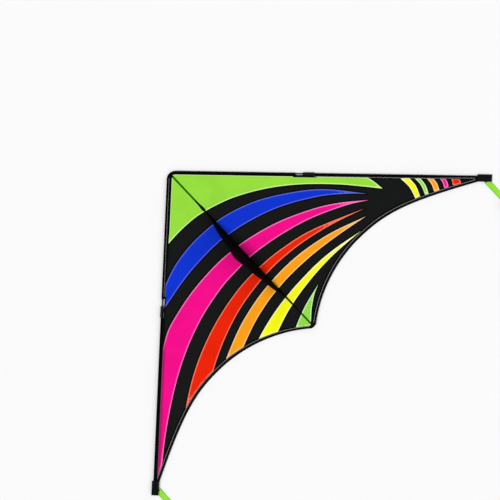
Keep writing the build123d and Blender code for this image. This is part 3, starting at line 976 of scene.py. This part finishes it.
def make_bands(side):
    word = WORDS[side]
    spans = {"front": (0.0, run_of(GAP_START)), "rear": (run_of(GAP_END), run_of(POCKET_START + 6))}
    for place, (start, end) in spans.items():
        rings = [mirrored(ring, side) for ring in band_rings(side, start, end, place == "rear")]
        band = shell(f"{word}_edge_band_{place}", rings, MATERIALS[f"band_{word}"], capped=False)
        on_wing(band, side, f"leading_edge_sleeve_{place}", crosses_seam=place == "front")
        span = (max(start, BAND_ROW_FROM), end - 2)
        zigzag = [band_row(side, *span, zigzag_line(side, place))]
        # painted highlight: grey thread on the left front and right rear bands stands in for the light caught
        # along the rod's tunnel as well as stitching; the other two bands take dark thread
        tone = MATERIALS["grey_thread_and_highlight" if (side > 0) == (place == "rear") else "thread_dark"]
        on_wing(stitches(f"{word}_edge_zigzag_{place}", zigzag, tone, ZIGZAG_WIDTH), side)
        straight = [band_row(side, *span, lambda along: wide_band(side, along) - 1.2)]
        on_wing(stitches(f"{word}_edge_stitches_{place}", straight, MATERIALS["thread_black"]), side)


# ---- folded hems along the trailing edges
HEM_HALF = 0.5
HEM_TOP = [(0.3, HEM_HALF), (4.0, 1.1 * HEM_HALF), (9.0, HEM_HALF), (HEM_WIDTH - 0.3, HEM_HALF)]
HEM_SECTION = [(0.0, 0.0), *HEM_TOP, (HEM_WIDTH, 0.0), *((u, -v) for u, v in reversed(HEM_TOP))]
# the inner row's grey thread is stitching and also a painted highlight along the hem
HEM_ROWS = {"outer": (2.0, "thread_dark", 0.0), "inner": (HEM_WIDTH - 2.0, "grey_thread_and_highlight", 2.2)}


def make_hem(side):
    path = trailing_edge(5.0)
    rings = []
    for x, station in path:
        ring = [put(x, station - u, SAIL_Z + drape.at(x, station - u) + v) for u, v in HEM_SECTION]
        rings.append(mirrored(ring, side))
    hem = shell(f"{WORDS[side]}_trailing_hem", rings, MATERIALS["hem"])
    on_wing(hem, side, "trailing_edge_hem", crosses_seam=True)
    for name, (inset, tone, zigzag) in HEM_ROWS.items():
        places = [(x, station - inset) for x, station in path if x > HINGE[1]]
        places = [place for place in places if inboard_of(*place) > EDGE_BAND]
        row = [(put(side * x, s, SAIL_Z + drape.at(x, s) + HEM_HALF + STITCH_LIFT), UP) for x, s in places]
        on_wing(stitches(f"{WORDS[side]}_hem_stitches_{name}", [row], MATERIALS[tone], zigzag), side)


# ---- wing-tip pockets, loops
POCKET_OUTER = -4.9
POCKET_WIDTH = 24.6
POCKET_FLAT = 1.1  # half the thickness of the two layers of webbing
POCKET_SWELL = 3.4  # half the thickness over the rod's cap
SWELL_REACH = 4.6
POCKET_STEPS = [  # along from its mouth, then how much thinner and how far drawn in
    (3.0, 0.75, 0.06), (0.0, 0.85, 0.03), (0.0, 1.0, 0.0), (2.0, 1.05, 0.0), (12.0, 1.0, 0.0),
    (25.0, 1.0, 0.0), (38.0, 1.0, 0.0), (44.0, 0.86, 0.0), (47.5, 0.62, 0.0), (49.3, 0.42, 0.0),
    (50.0, 0.2, 0.01)]
POCKET_SEAM = 2.2  # the stitched box lies this far in from the pocket's sides
WEBBING_LIFT = 0.1  # stitches lie this far over webbing
POCKET_BOX = (4.0, 36.0)  # and between these, along from its mouth
LOOP_SECTION = [(-1, 0.5), (-0.8, 0.12), (0, 0), (0.8, 0.12), (1, 0.5), (0.8, 0.9), (0, 1), (-0.8, 0.9)]


def pocket_height(u):
    """Half the pocket's thickness: thick over the rod, flat at its sewn edges."""
    return POCKET_FLAT + (POCKET_SWELL - POCKET_FLAT) * exp(-((u - ROD_INSET) / SWELL_REACH) ** 2)


def pocket_ring(side, along, squeeze, shrink):
    columns = [POCKET_OUTER + POCKET_WIDTH * t for t in np.linspace(0, 1, 19)]
    heights = [0.5 * POCKET_FLAT, *(pocket_height(u) for u in columns[1:-1]), 0.5 * POCKET_FLAT]
    upper = list(zip(columns, heights))
    ring = []
    for u, v in upper + [(u, -v) for u, v in reversed(upper)]:
        ring.append(put(*edge_at(along, u + shrink * (ROD_INSET - u)), SAIL_Z + v * squeeze))
    return mirrored(ring, side)


def on_pocket(side, along, inboard):
    x, station = edge_at(along, inboard)
    return put(side * x, station, SAIL_Z + pocket_height(inboard) + WEBBING_LIFT), UP


def make_wing_tip_pocket(side):
    word = WORDS[side]
    rings = [pocket_ring(side, POCKET_START + at, squeeze, shrink) for at, squeeze, shrink in POCKET_STEPS]
    pocket = shell(f"{word}_tip_pocket", rings, MATERIALS[f"webbing_{word}"])
    on_wing(pocket, side, "wing_tip_pocket")
    near, far = (POCKET_START + along for along in POCKET_BOX)
    low, high = POCKET_OUTER + POCKET_SEAM, POCKET_OUTER + POCKET_WIDTH - POCKET_SEAM
    corners = [(near, low), (far, low), (far, high), (near, high), (near, low)]
    cross = ROD_INSET + 6.5
    lines = [*zip(corners, corners[1:]), ((near, cross), (far, high)), ((far, cross), (near, high))]
    paths = [[on_pocket(side, *place) for place in divided(line, 3.0)] for line in lines]
    on_wing(stitches(f"{word}_pocket_stitches", paths, MATERIALS["thread_dark"]), side)


def make_tail_loop(side):
    """Webbing loop: a rounded band bent into a closed ring in the plane across the wing tip."""
    word = WORDS[side]
    low, high = (np.array(corner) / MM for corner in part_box(f"{word}_tail_loop"))
    middle, half = (low + high) / 2, (high - low) / 2
    rings = []
    for a in angles(32):
        y, z = (abs(f) ** 0.5 * (1 if f > 0 else -1) for f in (cos(a), sin(a)))
        ring = [(u * half[0], y * (half[1] - depth), z * (half[2] - depth)) for u, depth in LOOP_SECTION]
        rings.append([Vector(middle + p) * MM for p in ring])
    rings.append(rings[0])
    material = MATERIALS["webbing_middle"]
    loop = shell(f"{word}_tail_webbing_loop", rings, material, capped=False, sharp=60, weld=True)
    on_wing(loop, side, "tail_loop")


for side in WORDS:
    make_bands(side)
    make_hem(side)
    make_wing_tip_pocket(side)
    make_tail_loop(side)


# ---- spine, underneath
SPINE_Z = 7.9
SEAM_TOP = SAIL_Z - 0.75  # the tunnel is sewn to the underside of the seam
TUNNEL_LOW, POCKET_LOW = 5.2, 4.4
SPINE_HALF = 3.6  # half the width of the tunnel's and the pockets' flanges
SPINE_POCKETS = {"nose_pocket": (0.6, 24.0), "tail_pocket": (697.0, 720.4)}
CLOSED_END = [(0.0, 0.25), (0.8, 0.7), (2.5, 0.93), (5.0, 1.0)]  # a pocket's size from its closed end
SEAM_ROW = SEAM_HALF - 0.4
SEAM_LIFT = 0.02
FLANGE = 0.5  # the flange's thickness
FLANGE_ROW = 1.2  # its rows are this much further out than the seam's
BAR_TACKS = [(13.5, 0.3), (16.0, 0.3), (711.0, HEM_HALF + 0.1), (716.0, HEM_HALF + 0.1)]  # station, height


def spine_section(low):
    """Cloth round the spine rod with a flange on each side, sewn up to the seam."""
    radius = SPINE_Z - low
    around = np.linspace(radians(100), radians(-100), 17)
    return [(SPINE_HALF, SEAM_TOP), (SPINE_HALF, SEAM_TOP - FLANGE),
            *((radius * sin(a), SPINE_Z - radius * cos(a)) for a in around),
            (-SPINE_HALF, SEAM_TOP - FLANGE), (-SPINE_HALF, SEAM_TOP)]


def spine_ring(station, section, squeeze=1.0):
    return [put(x * squeeze, station, SEAM_TOP + (z - SEAM_TOP) * squeeze) for x, z in section]


def make_spine_cloth():
    front, rear = SPINE_POCKETS["nose_pocket"][1], SPINE_POCKETS["tail_pocket"][0]
    rings = [spine_ring(station, spine_section(TUNNEL_LOW)) for station in np.linspace(front, rear, 40)]
    sleeve = shell("spine_tunnel", rings, MATERIALS["hem"], capped=False)
    follow(sleeve, "spine", "spine_sleeve")
    for node, (start, end) in SPINE_POCKETS.items():
        mouth = end - start
        steps = [*CLOSED_END, (mouth, 1.0), (mouth, 0.9), (mouth - 2.5, 0.86)]
        if node == "nose_pocket":
            places = [(start + at, squeeze) for at, squeeze in steps]
        else:
            places = [(end - at, squeeze) for at, squeeze in steps]
        rings = [spine_ring(station, spine_section(POCKET_LOW), squeeze) for station, squeeze in places]
        follow(shell(f"{node}_webbing", rings, MATERIALS["webbing_middle"]), "spine", node)


def make_seam_stitches():
    """Two rows beside the felled seam, above and below, and a bar tack over each spine pocket."""
    rows = []
    for x in (-SEAM_ROW, SEAM_ROW):
        stations = np.arange(14, TAIL_CORNER[1] - HEM_WIDTH, 10.0)
        rows.append([(put(x, station, SAIL_Z + SEAM_LIFT), UP) for station in stations])
        stations = np.arange(26, 695, 10.0)
        rows.append([(put(FLANGE_ROW * x, station, SEAM_TOP - FLANGE - 0.12), -UP) for station in stations])
    for station, height in BAR_TACKS:
        rows.append([(put(x, station, SAIL_Z + height), UP) for x in (-SEAM_HALF, 0, SEAM_HALF)])
    follow(stitches("spine_seam_stitches", rows, MATERIALS["thread_dark"]), "spine")


make_spine_cloth()
make_seam_stitches()


# ---- keel
KEEL_FRONT, KEEL_REAR = 173.0, 600.0
TOW_STATION, KEEL_DEPTH = 367.0, 152.0
KEEL_LEAN = radians(13.7)
KEEL_HINGE_Z = next(j["pos_m"][2] for j in frame["joints"] if j["name"] == "keel_swing") / MM
KEEL_HEM = 10.0
KEEL_BILLOW = 3.0
FLAT_FROM = 128.0  # the cloth is flat from this depth on
PANEL_TOP = 129.0  # and stops here, under the patch
PANEL_TUCK = 1.0  # its edges lie this far inside the hem
HEM_LIFT, PATCH_LIFT = 0.6, 0.9  # how far out from the keel's middle the stitches lie
# the stations and half widths that each tab starts and ends at
KEEL_TABS = {"front": (128.0, 176.0, 2.0, 6.2), "rear": (598.0, 614.0, 3.0, 2.4)}
KEEL_TAB_Z, KEEL_TAB_HALF = SAIL_Z + 0.25, 0.3
PATCH_SIDE = 46.0
PATCH_HALF = 0.8
PATCH_SEAM = 2.2  # the patch's stitches lie this far in from its sides
EYELET_DEPTH = KEEL_DEPTH - 17.0
EYELET_BORE, EYELET_TUBE, EYELET_FLANGE = 3.0, 3.9, 6.5
KEEL_HEM_TOP = [(0.4, 0.5), (5.0, 0.55), (KEEL_HEM - 0.3, 0.5), (KEEL_HEM, 0.15)]
KEEL_HEM_SECTION = [(0.2, 0.0), *KEEL_HEM_TOP, *((u, -v) for u, v in reversed(KEEL_HEM_TOP))]
KEEL_BEND = [(0, 0, (KEEL_HINGE_Z + depth) * MM) for depth in (-0.8, 4.5)]
LEFT_OF_KEEL = Vector((-cos(KEEL_LEAN), 0, -sin(KEEL_LEAN)))


def keel_billow(station, depth):
    """The keel's cloth bellies to the left, and is flat at its root and its patch."""
    free = clamp(depth / 18) * clamp((FLAT_FROM - depth) / 40)
    t = clamp((station - KEEL_FRONT) / (KEEL_REAR - KEEL_FRONT))
    ripple = 0.5 * sin(station / 14.0 + depth / 30.0) + 0.35 * sin(station / 31.0 - depth / 17.0)
    return free * (KEEL_BILLOW * sin(pi * t) + ripple)


def on_keel(station, depth, out=0.0):
    """A place on the keel: depth from its hinge line, and out to its left side."""
    out += keel_billow(station, depth)
    return put(-depth * sin(KEEL_LEAN) - out * cos(KEEL_LEAN), station,
               KEEL_HINGE_Z + depth * cos(KEEL_LEAN) - out * sin(KEEL_LEAN))


def keel_edge(end_station, distance, inset=0.0):
    """A point this far down the edge from the keel's point to one end of its root, moved into the cloth."""
    length = hypot(end_station - TOW_STATION, KEEL_DEPTH)
    along_s, along_d = (end_station - TOW_STATION) / length, -KEEL_DEPTH / length
    side = 1 if end_station < TOW_STATION else -1
    return (TOW_STATION + along_s * distance - side * along_d * inset,
            KEEL_DEPTH + along_d * distance + side * along_s * inset)


def keel_rows(places, out):
    """The same stitch row on the keel's left and right sides, out from the cloth."""
    return [[(on_keel(s, d, side * out), LEFT_OF_KEEL * side) for s, d in places] for side in (1, -1)]


def make_keel_cloth():
    depths = [-0.8, 0.0, 1.0, 2.0, 3.0, 4.5, *np.linspace(6.5, PANEL_TOP, 34)]
    rings = []
    for depth in depths:
        share = max(depth, 0.0) / KEEL_DEPTH
        front = KEEL_FRONT + (TOW_STATION - KEEL_FRONT) * share + PANEL_TUCK
        rear = KEEL_REAR - (KEEL_REAR - TOW_STATION) * share - PANEL_TUCK
        rings.append([on_keel(station, depth) for station in np.linspace(front, rear, 70)])
    points, faces = skin(rings, closed=False)
    panel = new_piece("keel_cloth", points, faces, MATERIALS["keel"], sharp=180)
    follow(panel, "keel", "keel_panel", KEEL_BEND)
    width, depth = (KEEL_REAR - KEEL_FRONT) * MM, KEEL_DEPTH * MM


def make_keel_hem():
    points, faces, rows = [], [], []
    for end_station in (KEEL_FRONT, KEEL_REAR):
        length = hypot(end_station - TOW_STATION, KEEL_DEPTH)
        distances = np.linspace(PATCH_SIDE - 6, length - 1.0, 60)
        rings = []
        for distance in distances:
            places = [(*keel_edge(end_station, distance, u), v) for u, v in KEEL_HEM_SECTION]
            rings.append([on_keel(station, max(depth, -0.3), v) for station, depth, v in places])
        more_points, more_faces = skin(rings)
        faces += [tuple(i + len(points) for i in face) for face in more_faces]
        points += more_points
        for inset in (2.0, KEEL_HEM - 1.8):
            places = [keel_edge(end_station, d, inset) for d in distances if d > PATCH_SIDE + 1]
            rows += keel_rows([(s, d) for s, d in places if d > 7], HEM_LIFT)
    hem = clean(new_piece("keel_edge_hem", points, faces, MATERIALS["keel"]))
    follow(hem, "keel", "keel_hem", KEEL_BEND)
    follow(stitches("keel_hem_stitches", rows, MATERIALS["thread_black"]), "keel")


def make_keel_tabs():
    """The keel's hem runs on past both ends of its root, flat along the seam and narrowing as it goes."""
    for name, (start, end, half_start, half_end) in KEEL_TABS.items():
        rings = []
        for station in np.linspace(start, end, 9):
            half = half_start + (half_end - half_start) * (station - start) / (end - start)
            if station in (start, end):
                half *= 0.7
            flat = half - 0.3
            section = [(-half, -0.1), (-flat, KEEL_TAB_HALF), (flat, KEEL_TAB_HALF), (half, -0.1),
                       (flat, -KEEL_TAB_HALF), (-flat, -KEEL_TAB_HALF)]
            rings.append([put(x, station, KEEL_TAB_Z + z) for x, z in section])
        follow(shell(f"keel_tab_{name}", rings, MATERIALS["keel"]), "spine")


def make_tow_patch():
    """Two layers of webbing over the keel's point, as one closed piece with the eyelet's hole."""
    outline = [(TOW_STATION, KEEL_DEPTH), keel_edge(KEEL_FRONT, PATCH_SIDE), keel_edge(KEEL_REAR, PATCH_SIDE)]
    hole = [(TOW_STATION + EYELET_TUBE * cos(a), EYELET_DEPTH + EYELET_TUBE * sin(a)) for a in angles(24)]
    flat, triangles = triangulate(outline, [], 3.0, holes=[hole])
    size = len(flat)
    points = [on_keel(s, d, PATCH_HALF) for s, d in flat] + [on_keel(s, d, -PATCH_HALF) for s, d in flat]
    faces = triangles + [tuple(i + size for i in reversed(face)) for face in triangles]
    uses = {}
    for a, b, c in triangles:
        for edge in ((a, b), (b, c), (c, a)):
            uses.setdefault(tuple(sorted(edge)), []).append(edge)
    faces += [(e[0][1], e[0][0], e[0][0] + size, e[0][1] + size) for e in uses.values() if len(e) == 1]
    patch = clean(new_piece("keel_webbing_patch", points, faces, MATERIALS["webbing_middle"]))
    follow(patch, "keel", "keel_tow_patch")
    front, rear = ([keel_edge(end, distance, PATCH_SEAM) for distance in np.linspace(10, PATCH_SIDE - 4, 8)]
                   for end in (KEEL_FRONT, KEEL_REAR))
    rows = []
    for line in (front, rear, [front[-1], rear[-1]], [front[-1], rear[3]], [rear[-1], front[3]]):
        rows += keel_rows(line, PATCH_LIFT)
    follow(stitches("keel_patch_stitches", rows, MATERIALS["thread_black"]), "keel")


def make_eyelet():
    """Rolled metal eyelet: a tube whose two lips curl outwards over the patch."""
    lip = PATCH_HALF + 0.4
    half = [(EYELET_BORE, 0.0), (EYELET_BORE, 0.75), (EYELET_BORE + 0.25, 1.05), (EYELET_BORE + 0.8, lip),
            (EYELET_BORE + 1.8, lip), (EYELET_FLANGE - 0.6, lip - 0.12), (EYELET_FLANGE, PATCH_HALF + 0.08),
            (EYELET_FLANGE - 0.5, PATCH_HALF), (EYELET_TUBE, PATCH_HALF - 0.1)]
    profile = half + [(r, -h) for r, h in reversed(half[1:])]
    centre = put(-EYELET_DEPTH * sin(KEEL_LEAN), TOW_STATION, KEEL_HINGE_Z + EYELET_DEPTH * cos(KEEL_LEAN))
    turn_to = LEFT_OF_KEEL.to_track_quat("Z", "Y")
    rings = []
    for a in angles(48):
        rings.append([centre + turn_to @ (Vector((r * cos(a), r * sin(a), h)) * MM) for r, h in profile])
    rings.append(rings[0])
    eyelet = shell("rolled_tow_eyelet", rings, MATERIALS["brass"], capped=False, sharp=60, weld=True)
    follow(eyelet, "keel", "keel_tow_eyelet")


make_keel_cloth()
make_keel_hem()
make_keel_tabs()
make_tow_patch()
make_eyelet()


# ---- tails
TAIL_X, TAIL_WIDTH, TAIL_LENGTH = 773.0, 20.0, 2000.0
TAIL_START, TAIL_FLAT, ROLL_STATION = 748.0, 806.0, 868.0
TAIL_TOP = 5.5
ROLL_RADIUS, ROLL_CORE = 16.2, 2.4
LOOP_X, LOOP_STATION = 771.0, 764.0
BUTTONHOLE = 5.0
ROLL_STEPS = 26  # rows a turn
RIBBON_Z = 0.3  # the ribbon lies this far above the ground
BUTTONHOLE_PATCH = 30.0  # the ribbon's first stretch, which holds the buttonhole
WANDER = 0.5  # it lies this far to either side of a straight line
CUP = 0.25  # its sides lie this much higher than its middle
CUPPED_TO = 1700.0  # the ribbon is cupped until this far from its other end


def ribbon_path():
    """(station, height) down from the pocket, along the ground, and round the roll to its middle."""
    middle = (TAIL_START + TAIL_FLAT) / 2
    ends = [(TAIL_START, TAIL_TOP), (middle, TAIL_TOP), (middle, RIBBON_Z), (TAIL_FLAT, RIBBON_Z)]
    path = spaced([*bezier(ends, 40), (ROLL_STATION, RIBBON_Z)], 2.5)
    free = runs_of(path)[-1]
    mean_radius = (ROLL_RADIUS + ROLL_CORE) / 2
    turns = (TAIL_LENGTH - free) / (2 * pi * mean_radius)
    steps = int(turns * ROLL_STEPS)
    for i in range(1, steps + 1):
        turn = 2 * pi * turns * i / steps
        radius = ROLL_RADIUS + (ROLL_CORE - ROLL_RADIUS) * i / steps
        path.append((ROLL_STATION + radius * sin(turn), RIBBON_Z + ROLL_RADIUS - radius * cos(turn)))
    return path


def make_tail(side):
    """A ribbon with a buttonhole at its start, made flat as (across, distance) and laid along its path."""
    path = ribbon_path()
    run = runs_of(path)
    half = TAIL_WIDTH / 2
    columns = np.linspace(-half, half, 6)
    hole_x, hole_at = LOOP_X - TAIL_X, LOOP_STATION - TAIL_START + 0.3
    hole = [(hole_x + BUTTONHOLE * cos(a), hole_at + BUTTONHOLE * sin(a)) for a in angles(20)]
    corners = [(-half, 0), (half, 0), (half, BUTTONHOLE_PATCH), (-half, BUTTONHOLE_PATCH)]
    flat, faces = triangulate(corners, [], TAIL_WIDTH / 5, holes=[hole])
    rows = [[(across, distance) for across in columns]
            for distance in (BUTTONHOLE_PATCH, *(r for r in run if r > BUTTONHOLE_PATCH + 1))]
    strip, strip_faces = skin(rows, closed=False)
    faces += [tuple(i + len(flat) for i in face) for face in strip_faces]
    flat += strip
    places = []
    for across, distance in flat:
        station, height = (np.interp(distance, run, column) for column in zip(*path))
        wander = WANDER * sin(distance / 83.0) * clamp(distance / 200.0)
        cup = CUP * (across / half) ** 2 if distance < run[-1] - CUPPED_TO else 0.0
        places.append(put(TAIL_X + across + wander, station, height + cup))
    word = WORDS[side]
    ribbon = new_piece(f"{word}_ribbon", mirrored(places, side), faces, MATERIALS["ribbon"], sharp=180)
    shares = [across / half for across, _ in flat]
    ribbon.data.attributes.new("across", "FLOAT", "POINT").data.foreach_set("value", shares)
    clean(ribbon, weld=True, outwards=False)
    follow(ribbon, f"{word}_tail", f"{word}_tail_ribbon")


for side in WORDS:
    make_tail(side)


# ---- CAD pieces that keep their shape
def dress(node, material):
    """Gives a CAD node's own mesh a finished material."""
    for place in frame["nodes"][node].material_slots:
        place.material = MATERIALS[material]


dress("spine_rod", "rod_spine")
dress("spreader_rod", "rod_spreader")
dress("spine_rod_caps", "vinyl")
for word in WORDS.values():
    dress(f"{word}_leading_edge_rod", f"rod_{word}")
    dress(f"{word}_leading_edge_rod_caps", "vinyl")
    dress(f"{word}_spreader_fitting", "fitting")


# ---- floor, light, camera
CAMERA_PLACE = (0.0207, 0.0621, 6.0)
CAMERA_TURN = -43.27
VIEW_WIDTH = 1.7101  # metres across the picture at the sail's height
SENSOR = 36.0
FLOOR_HALF = 30.0


def floor_material():
    paper = Shader("pale_floor")
    paper.set(Base_Color=tinted(paper, (0.98, 0.98, 0.98), 0.004, 3.0))
    paper.set(Roughness=paper.ramp(paper.noise(40.0), 0.3, 0.7, 0.85, 0.95), Specular_IOR_Level=0.1)
    return paper.material


def make_floor():
    corners = [Vector((x, y, 0)) * FLOOR_HALF for x, y in ((-1, -1), (1, -1), (1, 1), (-1, 1))]
    new_piece("floor", corners, [(0, 1, 2, 3)], floor_material())


def soft_sun(name, towards, strength, width):
    """An even light from a direction, as soft as a source that many degrees wide."""
    lamp = bpy.data.lights.new(name, "SUN")
    lamp.energy = strength
    lamp.angle = radians(width)
    light = bpy.data.objects.new(name, lamp)
    light.rotation_euler = Vector(towards).to_track_quat("Z", "Y").to_euler()
    bpy.context.scene.collection.objects.link(light)


def make_light():
    world = bpy.data.worlds.new("studio")
    world.use_nodes = True
    background = world.node_tree.nodes["Background"]
    background.inputs["Color"].default_value = (1, 1, 1, 1)
    background.inputs["Strength"].default_value = 0.3
    bpy.context.scene.world = world
    soft_sun("key", (-1.25, 0.25, 3.0), 1.75, 16)
    soft_sun("fill", (1.5, -1.5, 3.2), 0.65, 60)


def make_camera():
    camera = bpy.data.cameras.new("camera")
    camera.sensor_width = SENSOR
    camera.lens = SENSOR * (CAMERA_PLACE[2] - SAIL_Z * MM) / VIEW_WIDTH
    holder = bpy.data.objects.new("camera", camera)
    holder.location = CAMERA_PLACE
    holder.rotation_euler = (0, 0, radians(CAMERA_TURN))
    bpy.context.scene.collection.objects.link(holder)
    bpy.context.scene.camera = holder


make_floor()
make_light()
make_camera()
bpy.context.scene.view_settings.view_transform = "Standard"
